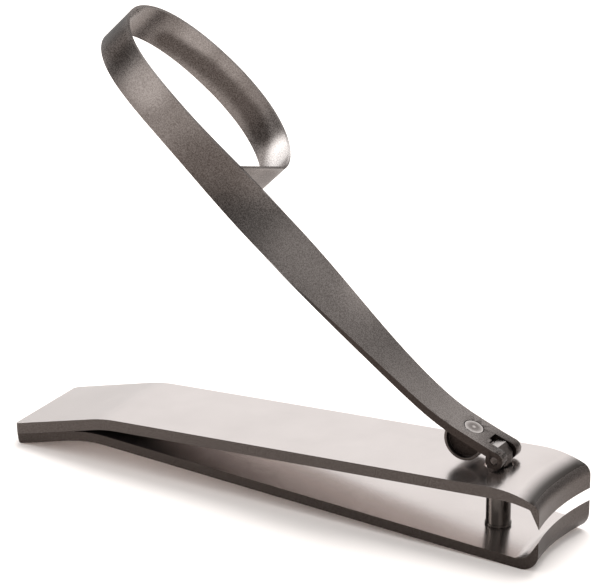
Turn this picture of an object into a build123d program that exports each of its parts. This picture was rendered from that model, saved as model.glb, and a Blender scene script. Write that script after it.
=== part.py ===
from build123d import *
import os
from math import cos, hypot, pi, radians, sin, tan

# Nail clipper, lever raised. Millimetres. +X points to the cutting edges, +Z up, Y across.
# The origin is on the ground at the middle of the blades' rear end.

# Blades
overall_length = 80.0
blade_width = 14.7
upper_thickness = 1.55
lower_thickness = 1.35
tail_pitch = 15.0  # degrees the joined tail climbs towards the front
lower_pitch = 2.6  # degrees the lower span falls towards the front
upper_pitch = 3.5  # degrees the upper span climbs towards the front
upper_height = 8.27  # top of the upper span, at upper_height_x
upper_height_x = 40.0
belly_radius = 2.5
bend_radius = 20.0  # where the tail turns into the span
tail_corner_radius = 0.8
tail_top_radius = 0.15
tail_foot_radius = 0.3
front_x = 68.0  # ahead of here the blades follow the notch of the cutting edge
edge_notch = 0.8  # how far the middle of the cutting edge lies behind its corners
upper_edge_z = 5.95
lower_edge_z = 4.28
cup_setback = 1.85  # where the lower blade's inner face turns up to its edge
cup_radius = 2.4
roll_x = 75.9  # where the upper blade turns down to its edge
roll_pitch = -21.0
roll_radius = 14.0
hollow_pitch = -10.0
hollow_radius = 12.0
crown_radius = 1.6
heel_setback = 1.3
heel_radius = 0.5

# Pivot pin
pin_x = 70.6
pin_radius = 1.62
pin_clearance = 0.05
upper_hole_radius = 1.95
collar_radius = 1.74
collar_height = 0.3
collar_fillet = 0.12
collar_gap = 0.05
foot_radius = 2.3
foot_z = 0.5
foot_cone_height = 0.55
tongue_width = 2.2
tongue_top_z = 12.85
tongue_base_z = 10.0
tongue_root = 0.5  # how far the tongue reaches down into the post
tongue_rear = 1.15
tongue_front = 1.45
tongue_rear_chamfer = 0.25
tongue_front_chamfer = 1.15

# Lever hinge
hinge_x = 71.1
hinge_z = 11.6
hinge_pin_radius = 0.55
hinge_clearance = 0.03
ear_radius = 1.2
nose_radius = 1.25
slot_width = 2.5
slot_reach = 2.4  # from the hinge axis to the slot's rear wall, along the lever

# Lever strip
lever_pitch = 21.5  # degrees, at the hinge
strip_width_nose = 5.34
strip_width_ring = 5.9
strip_thickness_nose = 1.2
strip_thickness_ring = 0.4
twist_start = 8.0  # distance along the strip
twist_end = 62.0
ring_pitch = 45.0
ring_origin = (29.15, 0.0, 47.5)
section_pitch = 2.6  # spacing of the lever's cross-sections
shank_route = [
    (72.3, 0.0, 11.7),
    (69.0, 0.0, 12.98),
    (66.2, 0.0, 14.05),
    (63.4, 0.0, 15.28),
    (58.9, -0.6, 18.52),
    (54.4, -1.34, 22.49),
    (45.9, -2.97, 30.75),
    (37.5, -4.74, 39.1),
]
# Ring centre line as (distance up the ring's slope, y), in the ring's own plane
ring_route = [
    (-6.0, -5.7),
    (2.0, -6.85),
    (9.0, -7.5),
    (13.3, -7.35),
    (16.7, -6.15),
    (18.7, -3.9),
    (19.1, -1.2),
    (17.7, 2.0),
    (14.3, 4.95),
    (8.5, 7.45),
    (0.9, 8.55),
    (-4.5, 7.35),
    (-7.5, 5.0),
    (-8.6, 2.3),
]

# Fulcrum shoe and its rivet, placed along the lever from the hinge axis
shoe_centre = 5.0
shoe_radius = 2.75
shoe_rim = 0.35
shoe_half_width = 2.0
shoe_pocket_depth = 0.7
shoe_low_centre = -0.33  # the shoe's own axis, below the hinge axis
rivet_head_radius = 1.28
rivet_head_depth = 0.45
rivet_shank_radius = 0.9
rivet_groove = 0.1
rivet_sink = 0.03
rivet_grip = 1.2  # how far its shank goes into the shoe

half_width = blade_width / 2


def line_through(x, z, pitch):
    """Straight side-view line as (slope, height at x = 0)."""
    slope = tan(radians(pitch))
    return slope, z - slope * x


def crossing(a, b):
    """Point where two side-view lines meet."""
    x = (b[1] - a[1]) / (a[0] - b[0])
    return x, a[0] * x + a[1]


def raised(line, distance):
    """The parallel line at a distance above."""
    return line[0], line[1] + distance * hypot(1, line[0])


def side_face(corners, radii, share, moving):
    """Side-view outline at a share of the half width. Corners named in moving follow the edge's notch."""
    notch = edge_notch * (1 - share**2)
    points = []
    for number, (x, z) in enumerate(corners):
        back = notch if number in moving else 0.0
        points.append((x - back, share * half_width, z - back * moving.get(number, 0.0)))
    outline = FilletPolyline(*points, radius=radii, close=True)
    return make_face(outline.edges())


def side_view_solid(corners, radii, moving):
    """A blade from its side view: a plain extrusion, then a loft that follows the notch in front."""
    rear = extrude(side_face(corners, radii, -1.0, moving), blade_width, dir=(0, 1, 0))
    front = loft([side_face(corners, radii, share, moving) for share in (-1.0, -0.5, 0.0, 0.5, 1.0)])
    ahead = Pos(front_x + overall_length / 2, 0, 0) * Box(overall_length, 2 * blade_width, overall_length)
    return (rear - ahead) + (front & ahead)


def plan_limits():
    """Vertical prism of the blades' outline from above, with rounded rear corners."""
    prism = Pos(overall_length / 2 + 5, 0, 8) * Box(overall_length + 10, blade_width, 24)
    rear = prism.edges().filter_by(Axis.Z).group_by(Axis.X)[0]
    return fillet(rear, tail_corner_radius)


tail_depth = lower_thickness + upper_thickness
tail_foot_x = tail_depth * sin(radians(tail_pitch))
tail_bottom = line_through(tail_foot_x, 0, tail_pitch)
tail_joint = raised(tail_bottom, lower_thickness)
tail_top = raised(tail_bottom, tail_depth)
belly_x = overall_length - belly_radius
tangent_z = belly_radius - belly_radius / cos(radians(lower_pitch))
lower_bottom = line_through(belly_x, tangent_z, -lower_pitch)
lower_inner = raised(lower_bottom, lower_thickness)
upper_top = line_through(upper_height_x, upper_height, upper_pitch)
upper_inner = raised(upper_top, -upper_thickness)


def tail_end(line):
    """Point of a tail line on the tail's square rear end."""
    rear = line_through(tail_foot_x, 0, tail_pitch + 90)
    return crossing(line, rear)


def height_on(line, x):
    return line[0] * x + line[1]


def make_lower_blade():
    cup_x = overall_length - cup_setback
    corners = [
        tail_end(tail_joint),
        crossing(tail_joint, lower_inner),
        (cup_x, height_on(lower_inner, cup_x)),
        (overall_length, lower_edge_z),
        (overall_length, height_on(lower_bottom, overall_length)),
        crossing(tail_bottom, lower_bottom),
        (tail_foot_x, 0),
    ]
    radii = [0, bend_radius + lower_thickness, cup_radius, 0, belly_radius, bend_radius, tail_foot_radius]
    blade = side_view_solid(corners, radii, {2: lower_inner[0], 3: 0.0, 4: 0.0}) & plan_limits()
    hole_radius = pin_radius + pin_clearance
    mouth_radius = foot_radius + pin_clearance
    shaft_hole = Pos(pin_x, 0, 2) * Cylinder(hole_radius, 6)
    cone_z = foot_z + foot_cone_height / 2
    cone = Pos(pin_x, 0, cone_z) * Cone(mouth_radius, hole_radius, foot_cone_height)
    mouth = Pos(pin_x, 0, foot_z - 1) * Cylinder(mouth_radius, 2)
    return blade - shaft_hole - cone - mouth


def make_upper_blade():
    roll_z = height_on(upper_top, roll_x)
    hollow_z = height_on(upper_inner, roll_x)
    roll_line = line_through(roll_x, roll_z, roll_pitch)
    hollow_line = line_through(roll_x, hollow_z, hollow_pitch)
    heel_x = overall_length - heel_setback
    corners = [
        tail_end(tail_top),
        crossing(tail_top, upper_top),
        (roll_x, roll_z),
        (overall_length, height_on(roll_line, overall_length)),
        (overall_length, upper_edge_z),
        (heel_x, height_on(hollow_line, heel_x)),
        (roll_x, hollow_z),
        crossing(tail_joint, upper_inner),
        tail_end(tail_joint),
    ]
    inner_bend = bend_radius - upper_thickness
    radii = [tail_top_radius, bend_radius, roll_radius, crown_radius, 0]
    radii += [heel_radius, hollow_radius, inner_bend, 0]
    moving = {2: upper_top[0], 3: 0.0, 4: 0.0, 5: 0.0, 6: upper_inner[0]}
    blade = side_view_solid(corners, radii, moving) & plan_limits()
    return blade - Pos(pin_x, 0, 9) * Cylinder(upper_hole_radius, 8)


def make_pivot_pin():
    collar_z = height_on(lower_inner, pin_x - collar_radius) + collar_gap
    shaft = Pos(pin_x, 0, (foot_z + tongue_base_z) / 2) * Cylinder(pin_radius, tongue_base_z - foot_z)
    foot_middle = foot_z + foot_cone_height / 2
    foot = Pos(pin_x, 0, foot_middle) * Cone(foot_radius, pin_radius, foot_cone_height)
    collar = Pos(pin_x, 0, collar_z + collar_height / 2) * Cylinder(collar_radius, collar_height)
    collar = fillet(collar.edges().sort_by(Axis.Z)[-1], collar_fillet)
    rear_x = pin_x - tongue_rear
    nose_x = pin_x + tongue_front
    side = [
        (rear_x, tongue_base_z - tongue_root),
        (rear_x, tongue_top_z - tongue_rear_chamfer),
        (rear_x + tongue_rear_chamfer, tongue_top_z),
        (nose_x - tongue_front_chamfer, tongue_top_z),
        (nose_x, tongue_top_z - tongue_front_chamfer),
        (nose_x, tongue_base_z - tongue_root),
    ]
    outline = Polyline(*[(x, -tongue_width / 2, z) for x, z in side], close=True)
    tongue = extrude(make_face(outline.edges()), tongue_width, dir=(0, 1, 0))
    round_limit = Pos(pin_x, 0, 8) * Cylinder(pin_radius, 20)
    hole = Pos(hinge_x, 0, hinge_z) * Rot(90, 0, 0) * Cylinder(hinge_pin_radius + hinge_clearance, 10)
    return shaft + foot + collar + (tongue & round_limit) - hole


# Lever frame: origin on the hinge axis, local x up the lever, local z away from the blades
lever_plane = Plane(
    origin=(hinge_x, 0, hinge_z),
    x_dir=(-cos(radians(lever_pitch)), 0, sin(radians(lever_pitch))),
    z_dir=(sin(radians(lever_pitch)), 0, cos(radians(lever_pitch))),
)
ring_up = Vector(-cos(radians(ring_pitch)), 0, sin(radians(ring_pitch)))
ring_normal = Vector(sin(radians(ring_pitch)), 0, cos(radians(ring_pitch)))


def ring_point(up, across):
    """Point of the ring's centre line in the part's frame."""
    return Vector(*ring_origin) + ring_up * up + Vector(0, across, 0)


route = Spline(*shank_route, *[ring_point(*p) for p in ring_route])


def strip_frame(distance):
    """Plane across the strip at a distance along it, with local x along the strip's width."""
    share = min(max((distance - twist_start) / (twist_end - twist_start), 0.0), 1.0)
    twist = pi / 2 * (3 * share**2 - 2 * share**3) ** 1.4
    ahead = route.tangent_at(distance / route.length)
    broad = Vector(0, 1, 0) * cos(twist) + ring_normal * sin(twist)
    broad = broad - ahead * broad.dot(ahead)
    return Plane(origin=route.position_at(distance / route.length), x_dir=broad, z_dir=ahead)


def strip_size(distance):
    """Width and thickness of the strip at a distance along it."""
    share = min(distance / twist_end, 1.0)
    width = strip_width_nose + (strip_width_ring - strip_width_nose) * share
    thickness = strip_thickness_nose + (strip_thickness_ring - strip_thickness_nose) * share
    return width, thickness


def make_lever():
    count = round(route.length / section_pitch)
    sections = []
    for number in range(count + 1):
        distance = route.length * number / count
        sections.append(strip_frame(distance) * Rectangle(*strip_size(distance)))
    lever = loft(sections)
    # The ring's free end turns in to meet the shank
    landing = nearest_distance(ring_point(-6.0, -5.6))
    shank = strip_frame(landing)
    end_plane = Plane(origin=shank.origin, x_dir=shank.x_dir, z_dir=shank.y_dir * -1)
    closing = loft([sections[-1], end_plane * Rectangle(*strip_size(route.length))])
    lever = lever + closing
    # Nose: rounded about the hinge axis, with an ear each side of the slot
    ahead = lever_plane * Pos(-5, 0, 0) * Box(10, 20, 10)
    barrel = lever_plane * Rot(90, 0, 0) * Cylinder(nose_radius, 20)
    lever = lever - (ahead - barrel)
    ears = lever_plane * Rot(90, 0, 0) * Cylinder(ear_radius, strip_width_nose)
    lever = lever + ears
    slot = lever_plane * Pos(slot_reach / 2 - 5, 0, 0) * Box(slot_reach + 10, slot_width, 8)
    bore = lever_plane * Rot(90, 0, 0) * Cylinder(hinge_pin_radius + hinge_clearance, 20)
    lever = lever - slot - bore
    shank_hole = lever_plane * Pos(shoe_centre, 0, 0) * Cylinder(rivet_shank_radius, 8)
    recess = lever_plane * Pos(shoe_centre, 0, strip_top() - rivet_head_depth + 1) * Cylinder(
        rivet_head_radius + rivet_groove, 2
    )
    return lever - shank_hole - recess


def nearest_distance(point):
    """Distance along the shank nearest a point."""
    shank_length = route.length * 0.5
    steps = [shank_length * n / 200 for n in range(201)]
    return min(steps, key=lambda d: (route.position_at(d / route.length) - point).length)


def strip_middle():
    """Height of the strip's middle above the hinge axis, at the rivet, in the lever's frame."""
    target = lever_plane.origin + lever_plane.x_dir * shoe_centre
    point = route.position_at(nearest_distance(target) / route.length)
    return (point - lever_plane.origin).dot(lever_plane.z_dir)


def strip_top():
    return strip_middle() + strip_thickness_nose / 2


def strip_bottom():
    return strip_middle() - strip_thickness_nose / 2


def make_fulcrum_shoe():
    across = lever_plane * Pos(shoe_centre, 0, shoe_low_centre) * Rot(90, 0, 0)
    width = 2 * shoe_half_width
    drum = across * Cylinder(shoe_radius, width)
    core = across * Cylinder(shoe_radius - shoe_rim, 2 * width) - across * Cylinder(
        shoe_radius, width - 2 * shoe_pocket_depth
    )
    above = lever_plane * Pos(shoe_centre, 0, strip_bottom() + 5) * Box(20, 20, 10)
    above_pocket = lever_plane * Pos(shoe_centre, 0, strip_bottom() - shoe_rim + 5) * Box(20, 20, 10)
    shoe = drum - above - (core - above_pocket)
    seat = lever_plane * Pos(shoe_centre, 0, rivet_foot()) * Cylinder(
        rivet_shank_radius, 10, align=(Align.CENTER, Align.CENTER, Align.MIN)
    )
    return shoe - seat


def rivet_foot():
    """Height of the rivet's blind end inside the shoe, in the lever's frame."""
    return strip_bottom() - rivet_grip


def make_shoe_rivet():
    head_top = strip_top() - rivet_sink
    head_base = strip_top() - rivet_head_depth
    head = lever_plane * Pos(shoe_centre, 0, (head_top + head_base) / 2) * Cylinder(
        rivet_head_radius, head_top - head_base
    )
    shank = lever_plane * Pos(shoe_centre, 0, (head_base + rivet_foot()) / 2) * Cylinder(
        rivet_shank_radius, head_base - rivet_foot()
    )
    return head + shank


def make_hinge_pin():
    pin = lever_plane * Rot(90, 0, 0) * Cylinder(hinge_pin_radius, strip_width_nose - 0.04)
    return chamfer(pin.edges().filter_by(GeomType.CIRCLE), 0.08)


os.makedirs("parts", exist_ok=True)
nodes = {
    "lower_blade": make_lower_blade(),
    "upper_blade": make_upper_blade(),
    "pivot_pin": make_pivot_pin(),
    "lever": make_lever(),
    "fulcrum_shoe": make_fulcrum_shoe(),
    "shoe_rivet": make_shoe_rivet(),
    "hinge_pin": make_hinge_pin(),
}
for name, solid in nodes.items():
    export_step(solid, f"parts/{name}.step")
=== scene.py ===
import math

import bmesh
import bpy
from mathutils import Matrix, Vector


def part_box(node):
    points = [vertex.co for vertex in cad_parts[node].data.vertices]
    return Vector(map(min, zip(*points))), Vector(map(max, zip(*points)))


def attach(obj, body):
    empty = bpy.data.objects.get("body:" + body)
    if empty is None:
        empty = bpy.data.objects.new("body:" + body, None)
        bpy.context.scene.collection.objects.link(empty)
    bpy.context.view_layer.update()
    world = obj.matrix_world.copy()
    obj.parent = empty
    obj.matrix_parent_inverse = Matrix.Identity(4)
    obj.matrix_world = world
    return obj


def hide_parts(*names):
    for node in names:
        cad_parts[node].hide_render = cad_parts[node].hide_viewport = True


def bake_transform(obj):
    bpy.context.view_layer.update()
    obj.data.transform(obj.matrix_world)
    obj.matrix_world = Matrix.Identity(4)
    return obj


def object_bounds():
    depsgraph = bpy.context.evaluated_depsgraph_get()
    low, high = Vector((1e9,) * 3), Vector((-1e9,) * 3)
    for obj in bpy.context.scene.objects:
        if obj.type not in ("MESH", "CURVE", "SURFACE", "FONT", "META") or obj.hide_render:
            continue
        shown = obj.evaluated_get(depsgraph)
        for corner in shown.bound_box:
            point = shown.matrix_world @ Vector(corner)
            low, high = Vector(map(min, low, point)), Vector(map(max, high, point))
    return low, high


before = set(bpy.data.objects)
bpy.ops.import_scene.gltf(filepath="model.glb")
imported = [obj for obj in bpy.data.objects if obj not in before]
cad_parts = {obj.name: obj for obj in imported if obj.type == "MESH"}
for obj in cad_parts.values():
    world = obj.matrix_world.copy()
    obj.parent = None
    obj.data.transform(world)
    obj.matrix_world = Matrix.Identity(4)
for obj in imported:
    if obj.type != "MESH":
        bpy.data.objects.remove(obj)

cad_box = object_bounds()

MM = 0.001

# Camera: a long lens looking from the front right, a little above the blades
CAMERA_AZIMUTH = 30.455
CAMERA_ELEVATION = 21.41
CAMERA_DISTANCE = 425.2 * MM
CAMERA_TARGET = Vector((40.777, 0.457, 27.342)) * MM
LENS_LENGTH = 196.0087  # millimetres, as the camera takes it
SENSOR_WIDTH = 36.0

# Blades
LENGTH = cad_box[1][0]
HALF_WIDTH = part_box("upper_blade")[1][1]
NOTCH = 0.8 * MM
BLEND_START = 6.0 * MM
BLEND_END = 30.0 * MM
BLEND_STEP = 1.5 * MM
# Painted reflection: a dark band painted on the upper blade where its front rolls down to the edge
BAND_REAR = 3.5  # millimetres behind the cutting edge where the dark band starts
BAND_FRONT = 1.1  # and where it is fully dark
GROUND_DEPTH = 1.3 * MM
TAIL_END = 2 * MM

# Lever and pins
TONGUE_BASE = 10.3 * MM
POCKET_REACH = 1.5 * MM
SIDE_TURN = 2.2  # degrees that the strip's near side turns for each millimetre of height
SIDE_TURN_START = 14  # height in millimetres where the side faces the front
SIDE_TOP = 50  # height in millimetres where it ends

# Bevels
BLADE_BEVEL = 0.07 * MM
LEVER_BEVEL = 0.05 * MM
CROSS_PIN_BEVEL = 0.03 * MM

# A tone zone is a round zone where the steel is made darker or lighter: place, reach, level. The ones
# on the ring and at the blade's front corner are painted light and painted shade.
# Places and reaches are in millimetres. Levels are as for steel().
# Painted shade: the lower blade's ground front made dark at its near corner
FRONT_CORNER_PAINTED_SHADE = ((80, -7, 1.5), 7, 54)
# Painted highlights and painted shade on the twisted ring, where its bends catch or miss the light;
# the brightest is a painted highlight inside the lower bend
RING_PAINTED_LIGHT_AND_SHADE = (
    ((22.6, -7.7, 55.4), 5, 138),
    ((17.5, -6.5, 59.5), 5, 62),
    ((22.0, 6.2, 57.5), 4, 128),
    ((25.8, 7.9, 54.0), 3, 118),
    ((31.0, -6.5, 44.0), 9, 80),
    ((35.5, 0.7, 42.2), 3.5, 84),
    ((35.0, 5.8, 43.4), 4, 220),
)
TONE_ZONE_CORE = 0.3  # share of the reach that has the full level

# Tone zones whose places come from the CAD: reach, level. The nose's is painted shade with some dark
# dirt round the cross pin.
NOSE_SHADE_AND_DIRT = (5, 62)
RIVET_STAINS = ((1.6, 104), (0.35, 170))

# Painted shade: the dark band along the inside of the ring, as tone zones strung between these places
RING_BAND = ((18.0, 4.2, 57.0), (22.9, 7.2, 53.1), (28.4, 8.2, 48.0), (31.2, 7.6, 44.4))
RING_BAND_STEPS = 4
RING_BAND_PAINTED_SHADE = (2.3, 70)

# Steel surfaces: warmth is as for steel(), and the noise runs between about these two values
FACE_WARMTH = 8
MATTE_WARMTH = 6
SPECKLE_SCALE = 6000.0
NOISE_LOW = 0.3
NOISE_HIGH = 0.7
# Level of the painted dark band on the upper blade's rolled front
BAND_LEVEL = 50

# Studio: what the steel mirrors is an even level with brighter and darker round zones
BASE_LEVEL = 0.5
ZONES = (
    # azimuth, elevation, full within, gone beyond, brighter by
    (200, 20, 12, 34, 0.54),
    (168, 36, 8, 20, 0.8),
    (104, 46, 10, 34, 0.4),
    (54, 28, 10, 30, 0.55),
    (7, 3, 10, 28, -0.15),
    (-93, 10, 10, 26, 0.6),
    (-62, 26, 10, 22, 4.5),
    (111, 22, 8, 20, 1.2),
)
ZONE_TINT = (1.0, 0.99, 0.985)
FLOOR_RADIUS = 0.3
FLOOR_SIDES = 96
FLOOR_COLOUR = (0.95, 0.9, 0.87, 1.0)
PANEL_SIZE = (0.5, 0.4)
PANEL_POWER = 3.4
PANEL_AZIMUTH = 190
PANEL_ELEVATION = 62
PANEL_DISTANCE = 0.6
PANEL_TARGET = Vector((0.04, 0, 0.02))


def direction(azimuth, elevation):
    """Unit vector from the object towards a view or a light; azimuth 0 is in front, -Y."""
    a = math.radians(azimuth)
    e = math.radians(elevation)
    return Vector((math.sin(a) * math.cos(e), -math.cos(a) * math.cos(e), math.sin(e)))


def make_camera():
    """The photograph's viewpoint."""
    back = direction(CAMERA_AZIMUTH, CAMERA_ELEVATION)
    data = bpy.data.cameras.new("front_camera")
    data.sensor_width = SENSOR_WIDTH
    data.lens = LENS_LENGTH
    data.clip_start = 0.01
    data.clip_end = 10
    camera = bpy.data.objects.new("front_camera", data)
    camera.location = CAMERA_TARGET + back * CAMERA_DISTANCE
    camera.rotation_euler = back.to_track_quat("Z", "Y").to_euler()
    bpy.context.scene.collection.objects.link(camera)
    bpy.context.scene.camera = camera


# Node helpers

class Nodes:
    """Short forms for building a node tree."""

    def __init__(self, tree):
        self.tree = tree

    def add(self, kind, **settings):
        node = self.tree.nodes.new(kind)
        for name, value in settings.items():
            setattr(node, name, value)
        return node

    def link(self, source, target):
        self.tree.links.new(source, target)

    def feed(self, value, target):
        if isinstance(value, bpy.types.NodeSocket):
            self.link(value, target)
        else:
            target.default_value = value

    def math(self, operation, first, second):
        node = self.add("ShaderNodeMath", operation=operation)
        self.feed(first, node.inputs[0])
        self.feed(second, node.inputs[1])
        return node.outputs[0]

    def map(self, value, low, high, out_low=0.0, out_high=1.0):
        node = self.add("ShaderNodeMapRange", interpolation_type="SMOOTHSTEP")
        for number, item in enumerate((value, low, high, out_low, out_high)):
            self.feed(item, node.inputs[number])
        return node.outputs[0]

    def noise(self, vector, scale, detail=2.0, rough=0.5):
        node = self.add("ShaderNodeTexNoise")
        self.link(vector, node.inputs["Vector"])
        node.inputs["Scale"].default_value = scale
        node.inputs["Detail"].default_value = detail
        node.inputs["Roughness"].default_value = rough
        return node.outputs["Fac"]

    def mix(self, share, first, second):
        node = self.add("ShaderNodeMix", data_type="RGBA")
        self.feed(share, node.inputs[0])
        self.feed(first, node.inputs[6])
        self.feed(second, node.inputs[7])
        return node.outputs[2]


def steel(level, warmth=4):
    """Linear colour of warm grey steel from its level: its brightness on a screen, 0 to 255."""
    screen = ((level + warmth) / 255, level / 255, (level - 3) / 255)
    return tuple(part ** 2.2 for part in screen) + (1.0,)


def metal(name):
    """A bare metal material, its nodes, its shader and the place on the object."""
    material = bpy.data.materials.new(name)
    material.use_nodes = True
    nodes = Nodes(material.node_tree)
    shader = material.node_tree.nodes["Principled BSDF"]
    shader.inputs["Metallic"].default_value = 1.0
    place = nodes.add("ShaderNodeTexCoord").outputs["Object"]
    return material, nodes, shader, place


def surface(nodes, shader, tone, grain, rough, rougher, depth):
    """Set the colour, and let the grain change the roughness and raise the surface a little."""
    nodes.link(tone, shader.inputs["Base Color"])
    nodes.link(nodes.map(grain, NOISE_LOW, NOISE_HIGH, rough, rougher), shader.inputs["Roughness"])
    node = nodes.add("ShaderNodeBump")
    node.inputs["Strength"].default_value = 1.0
    node.inputs["Distance"].default_value = depth
    nodes.link(grain, node.inputs["Height"])
    nodes.link(node.outputs[0], shader.inputs["Normal"])


def front_distance(nodes, place):
    """Distance behind the concave front edge of the blades, in millimetres."""
    split = nodes.add("ShaderNodeSeparateXYZ")
    nodes.link(place, split.inputs[0])
    share = nodes.math("DIVIDE", split.outputs["Y"], HALF_WIDTH)
    hollow = nodes.math("SUBTRACT", 1.0, nodes.math("MULTIPLY", share, share))
    edge = nodes.math("SUBTRACT", LENGTH, nodes.math("MULTIPLY", hollow, NOTCH))
    return nodes.math("DIVIDE", nodes.math("SUBTRACT", edge, split.outputs["X"]), MM)


def blade_face_material(name, level, banded=False):
    """Satin steel. Where banded, a dark band is painted on as the front rolls down to the edge: a
    painted reflection of the darker surroundings there.
    """
    material, nodes, shader, place = metal(name)
    cloud = nodes.noise(place, 160.0, 3.0, 0.55)
    grain = nodes.noise(place, 9000.0, 2.0, 0.6)
    tone = nodes.mix(cloud, steel(level - 7, FACE_WARMTH), steel(level + 7, FACE_WARMTH))
    if banded:
        band = nodes.map(front_distance(nodes, place), BAND_REAR, BAND_FRONT)
        tone = nodes.mix(band, tone, steel(BAND_LEVEL))
    surface(nodes, shader, tone, grain, 0.2, 0.26, 0.9e-6)
    return material


def speckled(nodes, speckle, dark, light):
    """Two levels of steel mixed by the speckle."""
    return nodes.mix(speckle, steel(dark, MATTE_WARMTH), steel(light, MATTE_WARMTH))


def matte_steel_material(name, dark, light, rough, depth, tone_zones=()):
    """Sheared, ground or blasted steel: a matte tone with fine speckle, made darker or lighter in tone
    zones at some places, mostly painted shade and painted highlights.
    """
    material, nodes, shader, place = metal(name)
    grain = nodes.noise(place, SPECKLE_SCALE, 2.0, 0.6)
    speckle = nodes.map(grain, 0.32, 0.68)
    tone = speckled(nodes, speckle, dark, light)
    spread = (light - dark) / 2
    for centre, reach, level in tone_zones:
        distance = nodes.add("ShaderNodeVectorMath", operation="DISTANCE")
        nodes.link(place, distance.inputs[0])
        distance.inputs[1].default_value = Vector(centre) * MM
        near = nodes.map(distance.outputs["Value"], reach * MM, TONE_ZONE_CORE * reach * MM)
        tone = nodes.mix(near, tone, speckled(nodes, speckle, level - spread, level + spread))
    surface(nodes, shader, tone, grain, rough - 0.03, rough + 0.05, depth)
    return material


def polished_material(name, level, rough):
    """Turned steel with faint rings round the pin."""
    material, nodes, shader, place = metal(name)
    split = nodes.add("ShaderNodeSeparateXYZ")
    nodes.link(place, split.inputs[0])
    rings = nodes.add("ShaderNodeTexNoise", noise_dimensions="1D")
    nodes.link(split.outputs["Z"], rings.inputs["W"])
    rings.inputs["Scale"].default_value = 12000.0
    tone = nodes.mix(nodes.noise(place, 900.0), steel(level - 6), steel(level + 6))
    surface(nodes, shader, tone, rings.outputs["Fac"], rough, rough + 0.04, 0.2e-6)
    return material


# Mesh helpers

def node_shape(node, planes=()):
    """The CAD node's solid as a bmesh with its seams joined, cut across X at some places."""
    shape = bmesh.new()
    shape.from_mesh(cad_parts[node].data)
    bmesh.ops.remove_doubles(shape, verts=shape.verts, dist=1e-6)
    flat = math.radians(0.05)
    bmesh.ops.dissolve_limit(shape, angle_limit=flat, verts=shape.verts, edges=shape.edges)
    for x in planes:
        parts = shape.verts[:] + shape.edges[:] + shape.faces[:]
        bmesh.ops.bisect_plane(shape, geom=parts, plane_co=(x, 0, 0), plane_no=(1, 0, 0))
    return shape


def soften_edges(shape, width):
    """Bevel every edge where two faces meet at more than 30 degrees."""
    sharp = []
    for edge in shape.edges:
        if len(edge.link_faces) == 2 and edge.calc_face_angle() > math.radians(30):
            sharp.append(edge)
    bmesh.ops.bevel(
        shape, geom=sharp, offset=width, segments=2, profile=0.5, affect="EDGES", clamp_overlap=True
    )


def add_piece(name, shape, materials, choose=None):
    """Object from a bmesh, smooth shaded with area-weighted normals."""
    mesh = bpy.data.meshes.new(name)
    for face in shape.faces:
        face.smooth = True
        if choose:
            face.material_index = choose(face)
    shape.to_mesh(mesh)
    shape.free()
    for material in materials:
        mesh.materials.append(material)
    piece = bpy.data.objects.new(name, mesh)
    bpy.context.scene.collection.objects.link(piece)
    mesh.set_sharp_from_angle(angle=math.radians(50))
    normals = piece.modifiers.new("normals", "WEIGHTED_NORMAL")
    normals.keep_sharp = True
    normals.weight = 80
    return piece


def blade_part(face):
    """0 outer face, 1 sheared edge, 2 ground front, 3 the upper blade's underside."""
    middle = face.calc_center_median()
    share = middle.y / HALF_WIDTH
    away = LENGTH - NOTCH * (1 - share * share) - middle.x
    tail = abs(face.normal.z) < 0.6 and middle.x < TAIL_END
    if abs(face.normal.y) > 0.9 or tail:
        return 1
    if face.normal.x > 0.5 and away < GROUND_DEPTH:
        return 2
    return 3 if face.normal.z < -0.5 else 0


def make_blades():
    """The lower strip rides the base. The upper strip is cut across at even steps between BLEND_START
    and BLEND_END, and is left where the CAD puts it.
    """
    front = matte_steel_material("ground_front", 66, 88, 0.42, 1.5e-6)
    upper_edge = matte_steel_material("upper_sheared_edge", 66, 92, 0.5, 2e-6)
    lower_edge = matte_steel_material("lower_sheared_edge", 46, 74, 0.5, 2e-6)
    upper_face = blade_face_material("upper_satin", 214, banded=True)
    # Painted shade: the upper blade's underside is a darker copy of its satin steel
    under_face = blade_face_material("under_satin_painted_shade", 130)
    lower_face = blade_face_material("lower_satin", 216)
    # Painted shade at the lower front's near corner
    corner = (FRONT_CORNER_PAINTED_SHADE,)
    lower_front = matte_steel_material("lower_ground_front_painted_corner_shade", 60, 84, 0.42, 1.5e-6, corner)

    shape = node_shape("lower_blade")
    soften_edges(shape, BLADE_BEVEL)
    steels = (lower_face, lower_edge, lower_front, lower_face)
    lower = add_piece("lower_blade_strip", shape, steels, blade_part)
    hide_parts("lower_blade")
    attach(lower, "base")

    count = round((BLEND_END - BLEND_START) / BLEND_STEP)
    planes = [BLEND_START + BLEND_STEP * n for n in range(count + 1)]
    shape = node_shape("upper_blade", planes)
    soften_edges(shape, BLADE_BEVEL)
    steels = (upper_face, upper_edge, front, under_face)
    upper = add_piece("upper_blade_strip", shape, steels, blade_part)
    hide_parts("upper_blade")
    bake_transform(upper)


def make_simple(node, name, materials, body, choose=None, bevel=LEVER_BEVEL):
    """The visible piece of one CAD node that moves with one body."""
    shape = node_shape(node)
    soften_edges(shape, bevel)
    piece = add_piece(name, shape, materials, choose)
    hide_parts(node)
    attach(piece, body)


def lever_part(face):
    """1 for the sheared near side of the strip, which turns away as the strip twists on its way up."""
    height = face.calc_center_median().z / MM
    facing = direction(-SIDE_TURN * (height - SIDE_TURN_START), 0)
    return 1 if height < SIDE_TOP and face.normal.dot(facing) > 0.8 else 0


def shoe_part(face):
    """1 for the floors of the shoe's side pockets."""
    inside = abs(face.calc_center_median().y) < POCKET_REACH
    return 1 if inside and abs(face.normal.y) > 0.9 else 0


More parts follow.
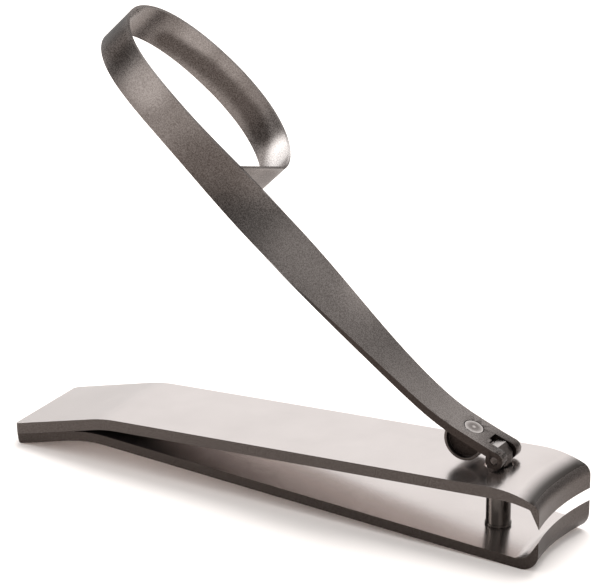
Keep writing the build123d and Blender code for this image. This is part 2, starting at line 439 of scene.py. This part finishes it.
def post_part(face):
    """0 the turned post, 1 the sides of its tongue, 2 the top of its tongue."""
    if face.calc_center_median().z < TONGUE_BASE:
        return 0
    return 2 if face.normal.z > 0.85 else 1


def cap_centre(node):
    """Centre of a node's largest face among those that look up."""
    shape = node_shape(node)
    caps = [face for face in shape.faces if face.normal.z > 0.8]
    centre = max(caps, key=lambda face: face.calc_area()).calc_center_median()
    shape.free()
    return centre


def lever_painted_light_and_dirt():
    """Tone zones of the lever: painted shade with some dirt at its nose, the ring's painted highlights
    and painted shade, and the ring's painted dark band.
    """
    low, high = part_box("hinge_pin")
    hinge = (Vector(low) + Vector(high)) / 2 / MM
    tone_zones = [(hinge,) + NOSE_SHADE_AND_DIRT] + list(RING_PAINTED_LIGHT_AND_SHADE)
    for start, end in zip(RING_BAND, RING_BAND[1:]):
        for step in range(RING_BAND_STEPS):
            place = Vector(start).lerp(Vector(end), step / RING_BAND_STEPS)
            tone_zones.append((place,) + RING_BAND_PAINTED_SHADE)
    return tone_zones


def make_lever():
    # The lever's steel carries painted highlights and painted shade on the ring, and painted shade
    # with some dirt at the nose
    blasted = matte_steel_material("blasted_steel_with_painted_light_and_dirt", 92, 122, 0.27, 1.5e-6, lever_painted_light_and_dirt())
    side = matte_steel_material("dark_strip_side", 48, 60, 0.4, 1.5e-6)
    make_simple("lever", "lever_strip", (blasted, side), "handle", lever_part)


def make_shoe():
    # Painted shade: the shoe under the lever is made dark steel, its pocket floors darker still
    shoe = matte_steel_material("shoe_painted_shade", 70, 88, 0.34, 1.5e-6)
    hollow = matte_steel_material("shadowed_pocket", 40, 56, 0.5, 2e-6)
    make_simple("fulcrum_shoe", "shoe_block", (shoe, hollow), "handle", shoe_part)


def make_rivet():
    cap = cap_centre("shoe_rivet") / MM
    tone_zones = [(cap,) + stain for stain in RIVET_STAINS]
    rivet = matte_steel_material("flush_rivet", 184, 204, 0.3, 1.5e-6, tone_zones)
    make_simple("shoe_rivet", "rivet_button", (rivet,), "handle")


def make_pins():
    turned = polished_material("turned_pin", 78, 0.2)
    # Painted light on the post's tongue: its top is a lit copy of the steel painted bright as a
    # highlight, its sides a shaded copy, which the cross pin also takes
    shaded_pin_steel = matte_steel_material("tongue_sides_and_cross_pin_shade", 70, 90, 0.34, 1.5e-6)
    lit_tongue_top = matte_steel_material("tongue_top_painted_highlight", 190, 210, 0.3, 1.5e-6)
    make_simple("hinge_pin", "cross_pin", (shaded_pin_steel,), "cross", bevel=CROSS_PIN_BEVEL)
    make_simple("pivot_pin", "pivot_post", (turned, shaded_pin_steel, lit_tongue_top), "pin", post_part)


# Studio

def make_world():
    """Even white light. Only what the steel mirrors has the brighter and darker zones."""
    world = bpy.data.worlds.new("studio")
    bpy.context.scene.world = world
    world.use_nodes = True
    nodes = Nodes(world.node_tree)
    background = world.node_tree.nodes["Background"]
    place = nodes.add("ShaderNodeTexCoord").outputs["Generated"]
    level = BASE_LEVEL
    for azimuth, elevation, full, gone, change in ZONES:
        dot = nodes.add("ShaderNodeVectorMath", operation="DOT_PRODUCT")
        nodes.link(place, dot.inputs[0])
        dot.inputs[1].default_value = direction(azimuth, elevation)
        near = math.cos(math.radians(full))
        far = math.cos(math.radians(gone))
        level = nodes.math("ADD", nodes.map(dot.outputs["Value"], far, near, 0.0, change), level)
    colour = nodes.add("ShaderNodeCombineColor")
    for number, share in enumerate(ZONE_TINT):
        nodes.link(nodes.math("MULTIPLY", level, share), colour.inputs[number])
    glossy = nodes.add("ShaderNodeLightPath").outputs["Is Glossy Ray"]
    white = (1.0, 1.0, 1.0, 1.0)
    nodes.link(nodes.mix(glossy, white, colour.outputs[0]), background.inputs["Color"])
    background.inputs["Strength"].default_value = 1.0


def make_floor():
    """A pale matte disc, lit enough to look white outside the soft shadow."""
    mesh = bpy.data.meshes.new("floor")
    disc = bmesh.new()
    bmesh.ops.create_circle(disc, cap_ends=True, segments=FLOOR_SIDES, radius=FLOOR_RADIUS)
    bmesh.ops.translate(disc, verts=disc.verts, vec=(CAMERA_TARGET.x, 0, 0))
    disc.to_mesh(mesh)
    disc.free()
    material = bpy.data.materials.new("pale_floor")
    material.use_nodes = True
    shader = material.node_tree.nodes["Principled BSDF"]
    shader.inputs["Base Color"].default_value = FLOOR_COLOUR
    shader.inputs["Roughness"].default_value = 0.9
    shader.inputs["Specular IOR Level"].default_value = 0.0
    mesh.materials.append(material)
    floor = bpy.data.objects.new("floor", mesh)
    bpy.context.scene.collection.objects.link(floor)


def make_light():
    """A large panel above and behind, which the steel does not mirror."""
    data = bpy.data.lights.new("top_panel", "AREA")
    data.shape = "RECTANGLE"
    data.size = PANEL_SIZE[0]
    data.size_y = PANEL_SIZE[1]
    data.energy = PANEL_POWER
    light = bpy.data.objects.new("top_panel", data)
    toward = direction(PANEL_AZIMUTH, PANEL_ELEVATION)
    light.location = PANEL_TARGET + toward * PANEL_DISTANCE
    light.rotation_euler = toward.to_track_quat("Z", "Y").to_euler()
    light.visible_glossy = False
    bpy.context.scene.collection.objects.link(light)


bpy.context.scene.view_settings.view_transform = "Standard"
make_camera()
make_blades()
make_lever()
make_shoe()
make_rivet()
make_pins()
make_world()
make_floor()
make_light()
